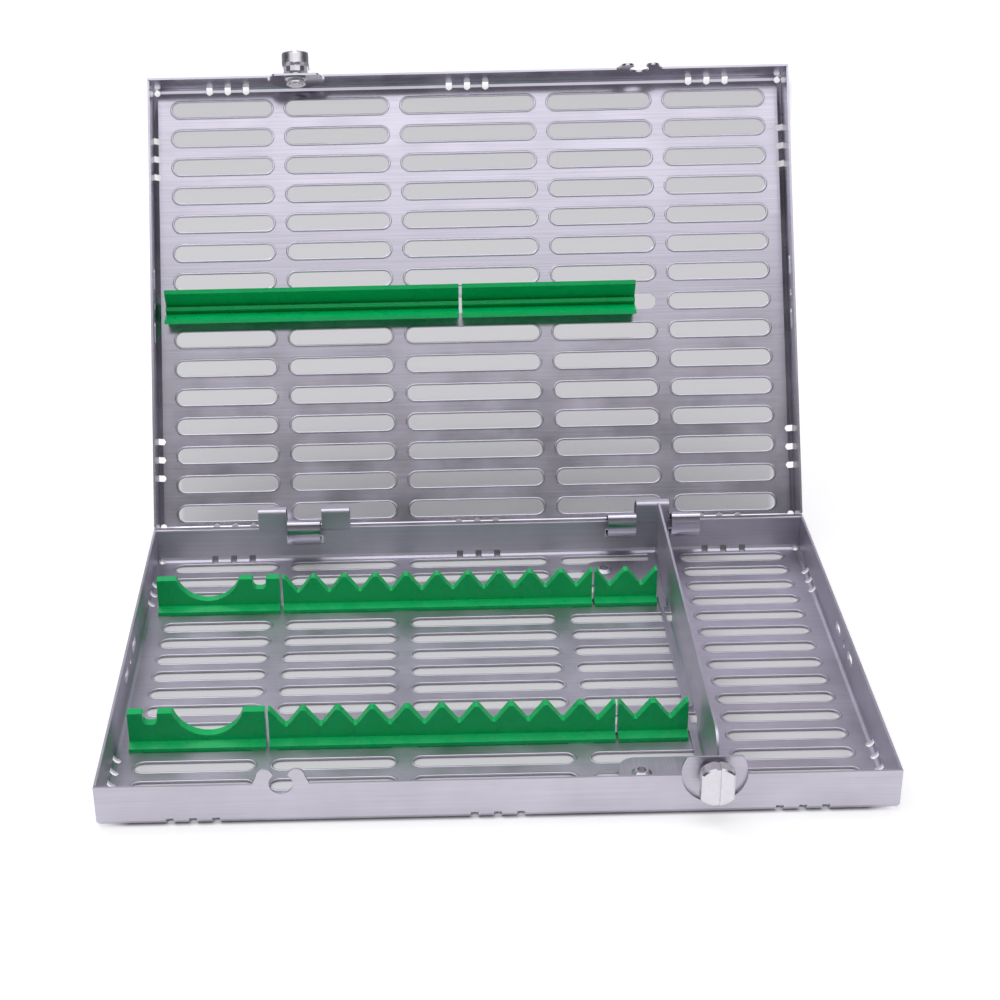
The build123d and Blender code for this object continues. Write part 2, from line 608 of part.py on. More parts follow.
# partition: upright sheet, narrow flange to the left and a riveted foot at each end
with BuildPart() as partition:
    length = partition_rear - partition_front
    with BuildSketch(Plane.XZ.offset(-partition_rear)) as angle:
        with BuildLine():
            Polyline(
                (PARTITION_X, SHEET),
                (PARTITION_X, PARTITION_TOP),
                (PARTITION_X - SHEET, PARTITION_TOP),
                (PARTITION_X - SHEET, 2 * SHEET),
                (PARTITION_X - FLANGE_WIDTH, 2 * SHEET),
                (PARTITION_X - FLANGE_WIDTH, SHEET),
                close=True,
            )
        make_face()
        outer_corner = angle.vertices().sort_by_distance((PARTITION_X, SHEET))[0]
        chamfer(outer_corner, PARTITION_BEND * BEND_FLAT)
        inner_corner = angle.vertices().sort_by_distance((PARTITION_X - SHEET, 2 * SHEET))[0]
        chamfer(inner_corner, (PARTITION_BEND - SHEET) * BEND_FLAT)
    extrude(amount=length)
    with BuildSketch(Plane.YZ.offset(PARTITION_X + CUT)) as outline:
        with Locations(((partition_front + partition_rear) / 2, 0)):
            Rectangle(length, PARTITION_TOP, align=(Align.CENTER, Align.MIN))
        fillet(outline.vertices().sort_by_distance((partition_front, PARTITION_TOP))[0], FRONT_CORNER)
        fillet(outline.vertices().sort_by_distance((partition_rear, PARTITION_TOP))[0], REAR_CORNER)
    extrude(amount=-(FLANGE_WIDTH + 2 * CUT), mode=Mode.INTERSECT)
    with BuildSketch(Plane.XY.offset(SHEET)) as feet:
        foot_right = PARTITION_X - PARTITION_BEND
        front_foot_y = PATTERN_Y - rivet_row_y + FOOT_FRONT_SHIFT
        rear_foot_y = PATTERN_Y + rivet_row_y + FOOT_REAR_SHIFT
        for foot_y in (front_foot_y, rear_foot_y):
            with Locations((foot_right, foot_y)):
                Rectangle(foot_right - FOOT_LEFT, FOOT_LENGTH, align=(Align.MAX, Align.CENTER))
        fillet(feet.vertices().group_by(Axis.X)[0], FOOT_CORNER)
        with Locations((RIVET_X, PATTERN_Y - rivet_row_y), (RIVET_X, PATTERN_Y + rivet_row_y)):
            turned_outline(RIVET_SHANK + 2 * BORE_CLEARANCE, outside=True, mode=Mode.SUBTRACT)
    extrude(amount=SHEET)
    with BuildSketch(Plane.XY):
        window_right = PARTITION_X + CUT
        window_depth = PARTITION_BEND + SHEET + CUT
        for window_y in (PATTERN_Y - window_row_y, PATTERN_Y + window_row_y):
            with Locations((window_right, window_y)):
                Rectangle(window_depth, WINDOW_LENGTH, align=(Align.MAX, Align.CENTER))
    extrude(amount=WINDOW_TOP, mode=Mode.SUBTRACT)
partition.part.label = "partition"

partition_rivet_front = partition_rivet(PATTERN_Y - rivet_row_y)
partition_rivet_front.part.label = "partition_rivet_front"
partition_rivet_rear = partition_rivet(PATTERN_Y + rivet_row_y)
partition_rivet_rear.part.label = "partition_rivet_rear"
partition_key_front = partition_key(PATTERN_Y - rivet_row_y)
partition_key_front.part.label = "partition_key_front"
partition_key_rear = partition_key(PATTERN_Y + rivet_row_y)
partition_key_rear.part.label = "partition_key_rear"


def spread(span, count):
    """Centres of equal valleys that share the length of a comb."""
    left, right = span
    pitch = (right - left) / count
    return [left + pitch * (index + 0.5) for index in range(count)]


rear_y = PATTERN_Y + comb_row_y
front_y = PATTERN_Y - comb_row_y
middle_valleys = spread(MIDDLE_COMB, MIDDLE_VALLEYS)
right_valleys = spread(RIGHT_COMB, RIGHT_VALLEYS)
rear_arc = [LEFT_COMB[0] + ARC_FROM_END]
rear_notch = [LEFT_COMB[1] - NOTCH_FROM_END]
front_arc = [LEFT_COMB[1] - ARC_FROM_END]
front_notch = [LEFT_COMB[0] + NOTCH_FROM_END]

comb_rear_left = silicone_comb(LEFT_COMB, rear_y, arcs=rear_arc, notches=rear_notch)
comb_rear_left.part.label = "comb_rear_left"
comb_rear_middle = silicone_comb(MIDDLE_COMB, rear_y, valleys=middle_valleys)
comb_rear_middle.part.label = "comb_rear_middle"
comb_rear_right = silicone_comb(RIGHT_COMB, rear_y, valleys=right_valleys)
comb_rear_right.part.label = "comb_rear_right"
comb_front_left = silicone_comb(LEFT_COMB, front_y, arcs=front_arc, notches=front_notch)
comb_front_left.part.label = "comb_front_left"
comb_front_middle = silicone_comb(MIDDLE_COMB, front_y, valleys=middle_valleys)
comb_front_middle.part.label = "comb_front_middle"
comb_front_right = silicone_comb(RIGHT_COMB, front_y, valleys=right_valleys)
comb_front_right.part.label = "comb_front_right"

lid_bar_left = silicone_bar(LONG_BAR)
lid_bar_left.part.label = "lid_bar_left"
lid_bar_right = silicone_bar(SHORT_BAR)
lid_bar_right.part.label = "lid_bar_right"

base_latch_knob = latch_knob(BASE_PLANE)
base_latch_knob.part.label = "base_latch_knob"
base_latch_stem = latch_stem(BASE_PLANE)
base_latch_stem.part.label = "base_latch_stem"
base_latch_spring_washer = latch_spring_washer(BASE_PLANE)
base_latch_spring_washer.part.label = "base_latch_spring_washer"
base_latch_retaining_washer = latch_retaining_washer(BASE_PLANE)
base_latch_retaining_washer.part.label = "base_latch_retaining_washer"
lid_latch_knob = latch_knob(LID_PLANE)
lid_latch_knob.part.label = "lid_latch_knob"
lid_latch_stem = latch_stem(LID_PLANE)
lid_latch_stem.part.label = "lid_latch_stem"
lid_latch_spring_washer = latch_spring_washer(LID_PLANE)
lid_latch_spring_washer.part.label = "lid_latch_spring_washer"
lid_latch_retaining_washer = latch_retaining_washer(LID_PLANE)
lid_latch_retaining_washer.part.label = "lid_latch_retaining_washer"

export_step(base_tray.part, "parts/base_tray.step")
export_step(lid_tray.part, "parts/lid_tray.step")
export_step(partition.part, "parts/partition.step")
export_step(partition_rivet_front.part, "parts/partition_rivet_front.step")
export_step(partition_rivet_rear.part, "parts/partition_rivet_rear.step")
export_step(partition_key_front.part, "parts/partition_key_front.step")
export_step(partition_key_rear.part, "parts/partition_key_rear.step")
export_step(comb_rear_left.part, "parts/comb_rear_left.step")
export_step(comb_rear_middle.part, "parts/comb_rear_middle.step")
export_step(comb_rear_right.part, "parts/comb_rear_right.step")
export_step(comb_front_left.part, "parts/comb_front_left.step")
export_step(comb_front_middle.part, "parts/comb_front_middle.step")
export_step(comb_front_right.part, "parts/comb_front_right.step")
export_step(lid_bar_left.part, "parts/lid_bar_left.step")
export_step(lid_bar_right.part, "parts/lid_bar_right.step")
export_step(base_latch_knob.part, "parts/base_latch_knob.step")
export_step(base_latch_stem.part, "parts/base_latch_stem.step")
export_step(base_latch_spring_washer.part, "parts/base_latch_spring_washer.step")
export_step(base_latch_retaining_washer.part, "parts/base_latch_retaining_washer.step")
export_step(lid_latch_knob.part, "parts/lid_latch_knob.step")
export_step(lid_latch_stem.part, "parts/lid_latch_stem.step")
export_step(lid_latch_spring_washer.part, "parts/lid_latch_spring_washer.step")
export_step(lid_latch_retaining_washer.part, "parts/lid_latch_retaining_washer.step")
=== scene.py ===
import json
import math

import bmesh
import bpy
from bpy.props import FloatProperty, FloatVectorProperty, IntProperty, PointerProperty
from mathutils import Matrix, Vector

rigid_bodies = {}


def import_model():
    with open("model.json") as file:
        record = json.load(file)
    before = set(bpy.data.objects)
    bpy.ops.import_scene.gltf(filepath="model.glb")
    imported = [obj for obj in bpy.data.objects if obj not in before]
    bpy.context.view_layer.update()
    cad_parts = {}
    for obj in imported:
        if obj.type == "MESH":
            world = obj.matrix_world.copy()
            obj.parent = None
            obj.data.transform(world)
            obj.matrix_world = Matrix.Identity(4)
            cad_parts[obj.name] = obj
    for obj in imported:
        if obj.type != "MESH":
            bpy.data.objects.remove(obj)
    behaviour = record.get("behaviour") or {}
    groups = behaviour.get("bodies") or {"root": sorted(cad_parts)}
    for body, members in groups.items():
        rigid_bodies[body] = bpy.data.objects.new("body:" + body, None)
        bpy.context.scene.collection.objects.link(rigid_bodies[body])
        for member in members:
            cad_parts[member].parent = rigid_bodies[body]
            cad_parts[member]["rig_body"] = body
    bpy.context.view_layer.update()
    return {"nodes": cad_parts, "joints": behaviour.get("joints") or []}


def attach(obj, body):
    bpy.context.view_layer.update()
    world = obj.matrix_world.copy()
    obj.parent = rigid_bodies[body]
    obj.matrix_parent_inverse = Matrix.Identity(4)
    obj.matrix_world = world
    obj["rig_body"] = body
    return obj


bl_info = {
    "name": "Dental instrument cassette",
    "version": (1, 0, 0),
    "blender": (4, 5, 0),
    "location": "3D View > Sidebar > Cassette",
    "description": "Finishes, slot rims and studio of a perforated instrument cassette",
    "category": "Object",
}

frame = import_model()
MM = 0.001

BASE_NODES = [name for name, node in frame["nodes"].items() if node["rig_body"] == "base"]
LID_NODES = [name for name, node in frame["nodes"].items() if node["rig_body"] == "lid"]
LATCH_NODES = [name for name, node in frame["nodes"].items() if "knob" in node["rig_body"]]
SILICONE_NODES = [name for name in BASE_NODES + LID_NODES if name.startswith(("comb_", "lid_bar_"))]


def to_linear(hex_colour):
    """An sRGB hex colour as linear red, green and blue."""
    channels = [int(hex_colour[i:i + 2], 16) / 255 for i in (1, 3, 5)]
    return [c / 12.92 if c <= 0.04045 else ((c + 0.055) / 1.055) ** 2.4 for c in channels]


# ---------------------------------------------------------------- sizes and colours

class CassetteSizes(bpy.types.PropertyGroup):
    """Sizes of the floor pattern and of the edges, in metres."""

    row_pitch: FloatProperty(
        name="Row pitch", description="Distance from one slot row to the next",
        default=12.85 * MM, unit="LENGTH", subtype="DISTANCE")
    rows_each_side: IntProperty(
        name="Rows each side", description="Slot rows on each side of the middle row", default=7)
    pattern_shift: FloatProperty(
        name="Pattern shift", description="Middle row's distance from the floor's centre line",
        default=1.0 * MM, unit="LENGTH", subtype="DISTANCE")
    slot_width: FloatProperty(
        name="Slot width", description="Clear width of each floor slot",
        default=7.0 * MM, unit="LENGTH", subtype="DISTANCE")
    centre_slot: FloatProperty(
        name="Centre slot", description="Length of the slots in the middle column",
        default=59.2 * MM, unit="LENGTH", subtype="DISTANCE")
    inner_slot: FloatProperty(
        name="Inner slot", description="Length of the slots in the inner columns",
        default=45.6 * MM, unit="LENGTH", subtype="DISTANCE")
    inner_column: FloatProperty(
        name="Inner column", description="Distance of the inner columns from the middle",
        default=58.2 * MM, unit="LENGTH", subtype="DISTANCE")
    outer_slot: FloatProperty(
        name="Outer slot", description="Length of the slots in the outer columns",
        default=44.4 * MM, unit="LENGTH", subtype="DISTANCE")
    outer_column: FloatProperty(
        name="Outer column", description="Distance of the outer columns from the middle",
        default=109.0 * MM, unit="LENGTH", subtype="DISTANCE")
    sheet: FloatProperty(
        name="Sheet", description="Thickness of the pressed sheet",
        default=0.9 * MM, unit="LENGTH", subtype="DISTANCE")
    rim_reach: FloatProperty(
        name="Rim reach", description="How far the rolled slot rim reaches over the floor",
        default=0.80 * MM, unit="LENGTH", subtype="DISTANCE")
    rim_rise: FloatProperty(
        name="Rim rise", description="How far the rolled slot rim stands above the floor",
        default=0.20 * MM, unit="LENGTH", subtype="DISTANCE")
    lid_rim_rise: FloatProperty(
        name="Lid rim rise", description="The same on the lid, whose rims are rolled almost flat",
        default=0.05 * MM, unit="LENGTH", subtype="DISTANCE")
    edge_round: FloatProperty(
        name="Edge round", description="Tumbled round on the sheet's cut edges",
        default=0.16 * MM, unit="LENGTH", subtype="DISTANCE")
    silicone_round: FloatProperty(
        name="Silicone round", description="Moulded round on the combs' and bars' edges",
        default=0.35 * MM, unit="LENGTH", subtype="DISTANCE")


class CassetteColours(bpy.types.PropertyGroup):
    """Base colours of the finishes."""

    steel: FloatVectorProperty(
        name="Steel", description="Brushed stainless steel sheet",
        default=to_linear("#D2CEDA"), subtype="COLOR", min=0, max=1)
    fitting: FloatVectorProperty(
        name="Fittings", description="Turned and tumbled stainless steel",
        default=to_linear("#DDDAE0"), subtype="COLOR", min=0, max=1)
    silicone: FloatVectorProperty(
        name="Silicone", description="Green instrument silicone",
        default=to_linear("#04B864"), subtype="COLOR", min=0, max=1)
    floor: FloatVectorProperty(
        name="Floor", description="Pale studio floor",
        default=to_linear("#DADADA"), subtype="COLOR", min=0, max=1)


# ---------------------------------------------------------------- shared tools

def lid_place():
    """Matrix that carries a half's own directions to the open lid."""
    hinge = next(joint for joint in frame["joints"] if joint["name"] == "lid_hinge")
    pivot = Vector(hinge["pos_m"])
    opened = Matrix.Rotation(-math.radians(hinge["range_deg"][1]), 4, "X")
    closed = Matrix.Translation((0, 0, 2 * pivot.z)) @ Matrix.Rotation(math.pi, 4, "Y")
    return Matrix.Translation(pivot) @ opened @ Matrix.Translation(-pivot) @ closed


def new_piece(name, mesh, body):
    """Links a mesh as a named piece that rides on a body."""
    piece = bpy.data.objects.new(name, mesh)
    bpy.context.scene.collection.objects.link(piece)
    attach(piece, body)
    return piece


def add_node(tree, kind, settings=None, links=None):
    """Adds one shader node: its settings or socket values, then its links. A number is a socket's place."""
    node = tree.nodes.new(kind)
    for key, value in (settings or {}).items():
        if isinstance(key, int) or key in node.inputs:
            node.inputs[key].default_value = value
        else:
            setattr(node, key, value)
    for key, source in (links or {}).items():
        tree.links.new(source, node.inputs[key])
    return node


def new_material(name):
    """An empty node material with its output node."""
    material = bpy.data.materials.new(name)
    material.use_nodes = True
    tree = material.node_tree
    tree.nodes.clear()
    return material, tree, add_node(tree, "ShaderNodeOutputMaterial")


def dress(node_name, material):
    """Gives a CAD node its finish."""
    node = frame["nodes"][node_name]
    node.data.materials.clear()
    node.data.materials.append(material)
    return node


def soften(node, width, segments=2):
    """Rounds a CAD node's sharp edges in the picture, as tumbling or moulding does."""
    bevel = node.modifiers.new("edge_round", "BEVEL")
    bevel.width = width
    bevel.segments = segments
    bevel.limit_method = "ANGLE"
    bevel.angle_limit = math.radians(35)
    bevel.use_clamp_overlap = True
    bevel.harden_normals = True
    return bevel


# ---------------------------------------------------------------- finishes

# Sizes of the patterns, in mm. Real brush lines are finer than the picture shows, so they are drawn
# half a millimetre apart.
BRUSH_PITCH = 0.5
BRUSH_LENGTH = 55
POLISH_CLOUD = 26
TUMBLED_SPECKLE = 2.2
MOULDED_SKIN = 7


def brushed_steel(name, colour, grain_along="X", roughness=0.27, streak=0.16):
    """Stainless steel sheet, belt brushed and then electropolished: long fine streaks in a soft
    satin gloss, with faint cloudy patches where the polish bit deeper."""
    material, tree, output = new_material(name)
    place = add_node(tree, "ShaderNodeTexCoord")
    across = 1 / (BRUSH_PITCH * MM)
    along = 1 / (BRUSH_LENGTH * MM)
    stretch = [along if axis == grain_along else across for axis in "XYZ"]
    grain_space = add_node(tree, "ShaderNodeMapping", {"Scale": stretch},
                           {"Vector": place.outputs["Object"]})
    grain = add_node(tree, "ShaderNodeTexNoise", {"Scale": 1.0, "Detail": 3.0, "Roughness": 0.6},
                     {"Vector": grain_space.outputs["Vector"]})
    cloud = add_node(tree, "ShaderNodeTexNoise",
                     {"Scale": 1 / (POLISH_CLOUD * MM), "Detail": 3.0, "Roughness": 0.55},
                     {"Vector": place.outputs["Object"]})
    shade = add_node(tree, "ShaderNodeMapRange",
                     {"From Min": 0.25, "From Max": 0.75, "To Min": 1 - streak, "To Max": 1.0},
                     {"Value": grain.outputs["Fac"]})
    patch = add_node(tree, "ShaderNodeMapRange",
                     {"From Min": 0.3, "From Max": 0.7, "To Min": 0.86, "To Max": 1.04},
                     {"Value": cloud.outputs["Fac"]})
    tone = add_node(tree, "ShaderNodeMath", {"operation": "MULTIPLY"},
                    {0: shade.outputs["Result"], 1: patch.outputs["Result"]})
    base = add_node(tree, "ShaderNodeVectorMath", {"operation": "SCALE", 0: colour},
                    {"Scale": tone.outputs["Value"]})
    gloss = add_node(tree, "ShaderNodeMapRange",
                     {"From Min": 0.3, "From Max": 0.7,
                      "To Min": roughness - 0.05, "To Max": roughness + 0.07},
                     {"Value": cloud.outputs["Fac"]})
    bump = add_node(tree, "ShaderNodeBump", {"Strength": 0.06, "Distance": 0.02 * MM},
                    {"Height": grain.outputs["Fac"]})
    surface = add_node(tree, "ShaderNodeBsdfPrincipled", {"Metallic": 1.0},
                       {"Base Color": base.outputs["Vector"], "Roughness": gloss.outputs["Result"],
                        "Normal": bump.outputs["Normal"]})
    tree.links.new(surface.outputs["BSDF"], output.inputs["Surface"])
    return material


def turned_steel(name, colour):
    """Stainless bar, turned and tumbled bright: small even speckle and a clearer gloss than the sheet."""
    material, tree, output = new_material(name)
    place = add_node(tree, "ShaderNodeTexCoord")
    speckle = add_node(tree, "ShaderNodeTexNoise",
                       {"Scale": 1 / (TUMBLED_SPECKLE * MM), "Detail": 3.0, "Roughness": 0.5},
                       {"Vector": place.outputs["Object"]})
    gloss = add_node(tree, "ShaderNodeMapRange",
                     {"From Min": 0.3, "From Max": 0.7, "To Min": 0.2, "To Max": 0.28},
                     {"Value": speckle.outputs["Fac"]})
    tone = add_node(tree, "ShaderNodeMapRange",
                    {"From Min": 0.3, "From Max": 0.7, "To Min": 0.92, "To Max": 1.0},
                    {"Value": speckle.outputs["Fac"]})
    base = add_node(tree, "ShaderNodeVectorMath", {"operation": "SCALE", 0: colour},
                    {"Scale": tone.outputs["Result"]})
    bump = add_node(tree, "ShaderNodeBump", {"Strength": 0.03, "Distance": 0.02 * MM},
                    {"Height": speckle.outputs["Fac"]})
    surface = add_node(tree, "ShaderNodeBsdfPrincipled", {"Metallic": 1.0},
                       {"Base Color": base.outputs["Vector"], "Roughness": gloss.outputs["Result"],
                        "Normal": bump.outputs["Normal"]})
    tree.links.new(surface.outputs["BSDF"], output.inputs["Surface"])
    return material


def moulded_silicone(name, colour):
    """Silicone rubber, compression moulded in a polished tool: deep glossy colour, a soft glow at
    the edges and a faint unevenness of the skin."""
    material, tree, output = new_material(name)
    place = add_node(tree, "ShaderNodeTexCoord")
    skin = add_node(tree, "ShaderNodeTexNoise",
                    {"Scale": 1 / (MOULDED_SKIN * MM), "Detail": 2.0, "Roughness": 0.5},
                    {"Vector": place.outputs["Object"]})
    tone = add_node(tree, "ShaderNodeMapRange",
                    {"From Min": 0.3, "From Max": 0.7, "To Min": 0.95, "To Max": 1.05},
                    {"Value": skin.outputs["Fac"]})
    base = add_node(tree, "ShaderNodeVectorMath", {"operation": "SCALE", 0: colour},
                    {"Scale": tone.outputs["Result"]})
    gloss = add_node(tree, "ShaderNodeMapRange",
                     {"From Min": 0.3, "From Max": 0.7, "To Min": 0.24, "To Max": 0.34},
                     {"Value": skin.outputs["Fac"]})
    bump = add_node(tree, "ShaderNodeBump", {"Strength": 0.15, "Distance": 0.08 * MM},
                    {"Height": skin.outputs["Fac"]})
    surface = add_node(tree, "ShaderNodeBsdfPrincipled",
                       {"IOR": 1.43, "Subsurface Weight": 0.12, "Subsurface Scale": 0.0015,
                        "Specular IOR Level": 0.3},
                       {"Base Color": base.outputs["Vector"], "Roughness": gloss.outputs["Result"],
                        "Normal": bump.outputs["Normal"]})
    tree.links.new(surface.outputs["BSDF"], output.inputs["Surface"])
    return material


# ---------------------------------------------------------------- slot rims

END_STEPS = 9     # a round slot end is swept in this many equal turns

# slots that other pieces fill: rows counted from the middle one, columns from the half's own left
COMB_ROW = 4
COMB_COLUMNS = range(4)
KEY_ROW = 6
KEY_COLUMN = 3
BAR_ROW = 0
BAR_COLUMNS = range(1, 5)


def stadium(length, width):
    """Points and outward directions round a slot with round ends."""
    reach = (length - width) / 2
    stations = []
    for side in (1, -1):
        for step in range(END_STEPS + 1):
            turn = math.radians(-90 + 180 * step / END_STEPS) + (math.pi if side < 0 else 0)
            outward = Vector((math.cos(turn), math.sin(turn), 0))
            stations.append((Vector((side * reach, 0, 0)) + outward * width / 2, outward))
    return stations


def rim_section(sizes, rise):
    """Closed section of the rolled rim: outward distance from the slot's edge, height over the floor."""
    reach, sheet = sizes.rim_reach, sizes.sheet
    return [
        (-0.10 * reach, -0.75 * sheet),
        (-0.34 * reach, -0.40 * sheet),
        (-0.26 * reach, 0.10 * rise),
        (0.02 * reach, 0.80 * rise),
        (0.30 * reach, rise),
        (0.62 * reach, 0.62 * rise),
        (reach, -0.05 * rise),
        (0.40 * reach, -0.40 * sheet),
    ]


def add_rim(bm, centre, length, width, section, floor):
    """Sweeps the rim's section once round one slot."""
    rings = []
    for point, outward in stadium(length, width):
        rings.append([bm.verts.new(centre + point + outward * out + Vector((0, 0, floor + up)))
                      for out, up in section])
    for ring, following in zip(rings, rings[1:] + rings[:1]):
        for i, vert in enumerate(ring):
            j = (i + 1) % len(ring)
            bm.faces.new((vert, ring[j], following[j], following[i]))


def slot_columns(sizes):
    """Centre and length of each column of slots, left to right."""
    return [
        (-sizes.outer_column, sizes.outer_slot),
        (-sizes.inner_column, sizes.inner_slot),
        (0.0, sizes.centre_slot),
        (sizes.inner_column, sizes.inner_slot),
        (sizes.outer_column, sizes.outer_slot),
    ]


def slot_rims(name, sizes, rise, place, body, filled):
    """The rolled rims of one half, apart from the slots that silicone or keys fill."""
    bm = bmesh.new()
    section = rim_section(sizes, rise)
    for row in range(-sizes.rows_each_side, sizes.rows_each_side + 1):
        for column, (x, length) in enumerate(slot_columns(sizes)):
            if (row, column) in filled:
                continue
            centre = Vector((x, sizes.pattern_shift + row * sizes.row_pitch, 0))
            add_rim(bm, centre, length, sizes.slot_width, section, sizes.sheet)
    bmesh.ops.recalc_face_normals(bm, faces=bm.faces)
    mesh = bpy.data.meshes.new(name)
    bm.to_mesh(mesh)
    bm.free()
    mesh.transform(place)
    mesh.shade_smooth()
    return new_piece(name, mesh, body)


# ---------------------------------------------------------------- operators

class CASSETTE_OT_pressed_halves(bpy.types.Operator):
    """Brushed steel on both pressed halves, with tumbled edges"""
    bl_idname = "cassette.pressed_halves"
    bl_label = "Pressed halves"

    def execute(self, context):
        colours, sizes = context.scene.cassette_colours, context.scene.cassette_sizes
        # the base shows the lid only faintly, so its satin is softer than the lid's
        satin = brushed_steel("brushed_stainless_base", colours.steel, roughness=0.42)
        bright = brushed_steel("brushed_stainless_lid", colours.steel, roughness=0.2)
        for name, steel in (("base_tray", satin), ("lid_tray", bright)):
            soften(dress(name, steel), sizes.edge_round)
        return {"FINISHED"}


class CASSETTE_OT_slot_rims(bpy.types.Operator):
    """Rolled rims round the floor slots of both halves"""
    bl_idname = "cassette.slot_rims"
    bl_label = "Slot rims"

    def execute(self, context):
        sizes = context.scene.cassette_sizes
        comb_slots = {(row, column) for row in (-COMB_ROW, COMB_ROW) for column in COMB_COLUMNS}
        key_slots = {(row, KEY_COLUMN) for row in (-KEY_ROW, KEY_ROW)}
        bar_slots = {(BAR_ROW, column) for column in BAR_COLUMNS}
        base = slot_rims("base_slot_rims", sizes, sizes.rim_rise, Matrix.Identity(4), "base",
                         comb_slots | key_slots)
        lid = slot_rims("lid_slot_rims", sizes, sizes.lid_rim_rise, lid_place(), "lid", bar_slots)
        base.data.materials.append(bpy.data.materials["brushed_stainless_base"])
        lid.data.materials.append(bpy.data.materials["brushed_stainless_lid"])
        return {"FINISHED"}


class CASSETTE_OT_partition(bpy.types.Operator):
    """Brushed steel on the partition, bright rivets and keys"""
    bl_idname = "cassette.partition"
    bl_label = "Partition"

    def execute(self, context):
        colours, sizes = context.scene.cassette_colours, context.scene.cassette_sizes
        sheet = brushed_steel("brushed_stainless_partition", colours.steel, grain_along="Y",
                              roughness=0.4)
        bright = turned_steel("bright_rivet_steel", colours.fitting)
        soften(dress("partition", sheet), sizes.edge_round)
        for name in BASE_NODES:
            if name.startswith(("partition_rivet", "partition_key")):
                soften(dress(name, bright), sizes.edge_round)
        return {"FINISHED"}


class CASSETTE_OT_silicone(bpy.types.Operator):
    """Green silicone on the combs and the lid bars"""
    bl_idname = "cassette.silicone"
    bl_label = "Silicone combs and bars"

    def execute(self, context):
        colours, sizes = context.scene.cassette_colours, context.scene.cassette_sizes
        rubber = moulded_silicone("moulded_green_silicone", colours.silicone)
        for name in SILICONE_NODES:
            soften(dress(name, rubber), sizes.silicone_round, segments=3)
        return {"FINISHED"}


class CASSETTE_OT_latches(bpy.types.Operator):
    """Turned steel on the knobs, stems and washers of both latches"""
    bl_idname = "cassette.latches"
    bl_label = "Turn latches"

    def execute(self, context):
        colours, sizes = context.scene.cassette_colours, context.scene.cassette_sizes
        turned = turned_steel("turned_stainless_latch", colours.fitting)
        for name in LATCH_NODES:
            soften(dress(name, turned), sizes.edge_round)
        return {"FINISHED"}


class CASSETTE_OT_studio(bpy.types.Operator):
    """Pale floor, soft lamps, world and camera"""
    bl_idname = "cassette.studio"
    bl_label = "Studio"

    def execute(self, context):
        studio_floor(context.scene.cassette_colours)
        studio_world(context.scene)
        for lamp in LAMPS:
            soft_lamp(*lamp)
        studio_camera(context.scene)
        context.scene.view_settings.view_transform = "Standard"
        return {"FINISHED"}


# ---------------------------------------------------------------- studio

FLOOR_HALF = 6.0
FLOOR_DROP = 0.00015      # the floor lies this far below the base

# Painted shade on the floor, seen through the slots, in metres: a patch where the paper doesn't glow and
# shows grey, standing in for the shadow under the base and behind the open lid. It is laid out for the
# studio camera's view alone: it starts at the base's front edge and widens behind the open lid to fill what
# the camera sees through it. It doesn't follow the lid, so from other sides and at other poses its outline
# shows on the floor.
PAINTED_SHADE_FRONT = -0.0995
PAINTED_SHADE_WIDENS_FROM = 0.12
PAINTED_SHADE_BACK = 0.90
PAINTED_SHADE_BACK_FADE = 0.03
PAINTED_SHADE_HALF_WIDTH = 0.133
PAINTED_SHADE_SPREAD = 0.118
PAINTED_SHADE_DRIFT = 0.021
PAINTED_SHADE_SOFT = 0.004
PAPER_GLOW = 0.5

# Light tent that the steel mirrors, by the height of the direction: a dark front under a bright band,
# and a bright ceiling. The levels follow the photograph's reflections on the open lid.
TENT_GROUND = (0.45, 0.45, 0.48, 1)
TENT_CEILING = (2.3, 2.3, 2.35, 1)
TENT_LEVELS = ((0.40, 0.10), (0.60, 0.04), (0.65, 0.25), (0.69, 1.2),
               (0.74, 1.7), (0.80, 0.8), (0.92, 0.8), (0.95, 2.3))
TENT_BLUE = 1.04          # how much more blue than red and green the levels have
TENT_REAR = (0.5, 0.49, 0.53, 1)
TENT_REAR_FULL = 0.5      # the rear's own level holds from this far back

# name, position, target, side in metres, and power in watts
LAMPS = (
    ("lamp_above", (-0.45, 0.3, 0.95), (0.0, 0.03, 0.0), 0.4, 1.8),
    ("lamp_front", (0.1, -1.0, 1.4), (0.0, 0.12, 0.1), 1.4, 0.8),
)


def studio_floor(colours):
    """A wide matt sheet just under the base, lifted to white for the camera and for reflections, apart from
    a patch of painted shade under the base and behind the open lid.
    """
    mesh = bpy.data.meshes.new("studio_floor")
    corners = [(x * FLOOR_HALF, y * FLOOR_HALF, -FLOOR_DROP)
               for x, y in ((-1, -1), (1, -1), (1, 1), (-1, 1))]
    mesh.from_pydata(corners, [], [(0, 1, 2, 3)])
    floor = bpy.data.objects.new("studio_floor", mesh)
    bpy.context.scene.collection.objects.link(floor)
    material, tree, output = new_material("matt_paper_floor")
    matt = add_node(tree, "ShaderNodeBsdfDiffuse", {"Color": (*colours.floor, 1)})
    path = add_node(tree, "ShaderNodeLightPath")
    seen = add_node(tree, "ShaderNodeMath", {"operation": "MAXIMUM"},
                    {0: path.outputs["Is Camera Ray"], 1: path.outputs["Is Glossy Ray"]})
    lift = add_node(tree, "ShaderNodeMath", {"operation": "MULTIPLY"},
                    {0: seen.outputs["Value"], 1: floor_glow_and_painted_shade(tree)})
    glow = add_node(tree, "ShaderNodeEmission", {"Color": (1, 1, 1, 1)},
                    {"Strength": lift.outputs["Value"]})
    both = add_node(tree, "ShaderNodeAddShader", None,
                    {0: matt.outputs["BSDF"], 1: glow.outputs["Emission"]})
    tree.links.new(both.outputs["Shader"], output.inputs["Surface"])
    mesh.materials.append(material)


